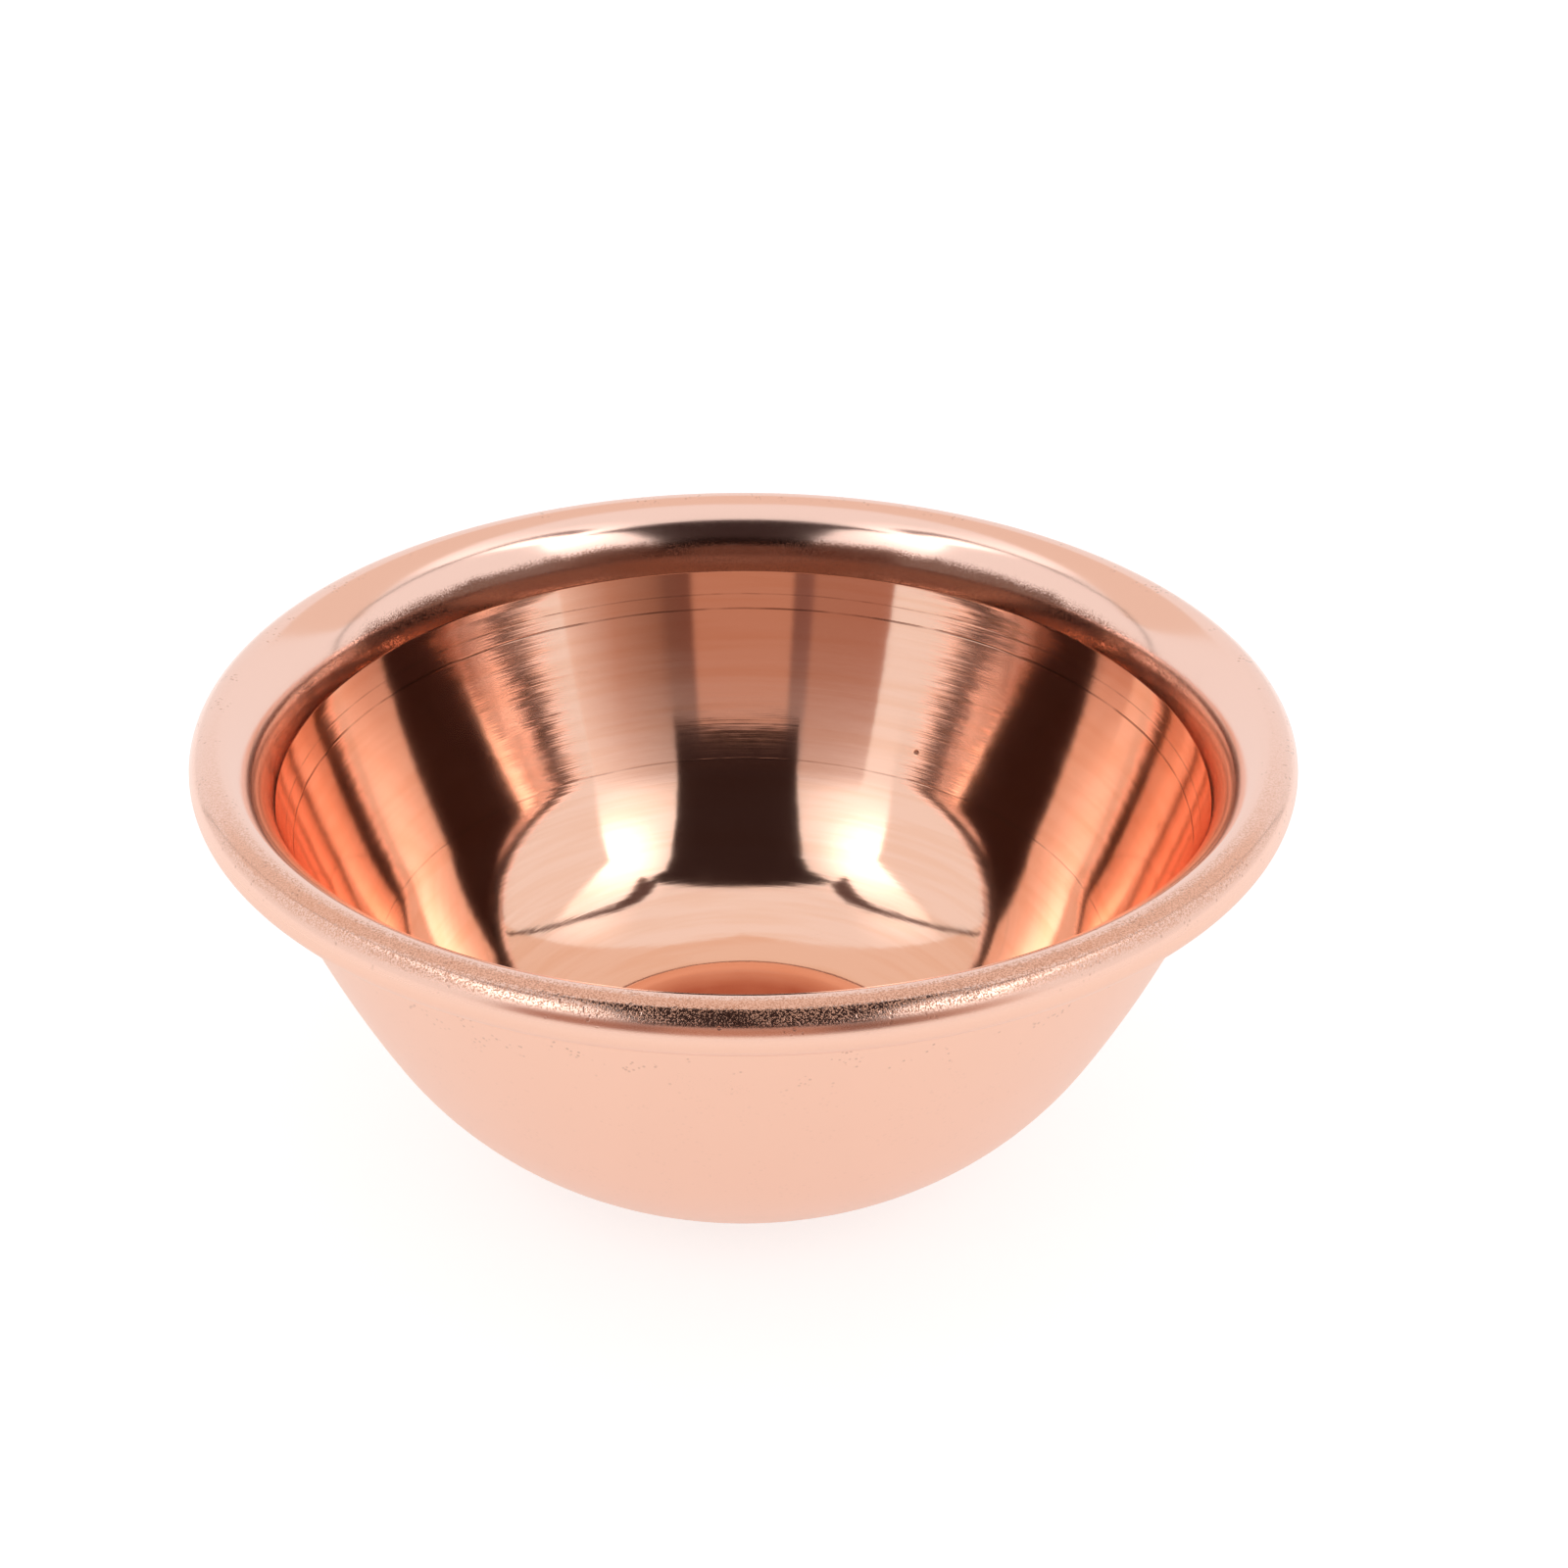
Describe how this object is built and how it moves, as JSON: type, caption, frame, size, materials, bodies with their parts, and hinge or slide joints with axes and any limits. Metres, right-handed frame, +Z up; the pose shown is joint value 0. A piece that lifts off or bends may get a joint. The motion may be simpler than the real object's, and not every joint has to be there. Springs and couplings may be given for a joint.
{
  "type": "offering bowl",
  "caption": "Small open offering bowl spun from one sheet of copper, with a flat foot, a rounded belly, almost straight flaring sides and a broad rolled rim.",
  "frame": {"origin": "centre of the flat foot, on the surface that the bowl stands on", "axes": "+Z up along the axis of the bowl, towards the mouth; the bowl is round, so +X and +Y are free"},
  "size_m": [0.057, 0.057, 0.025],
  "materials": {
    "copper": "satin"
  },
  "bodies": {
    "root": {"bowl": "copper"}
  },
  "joints": []
}
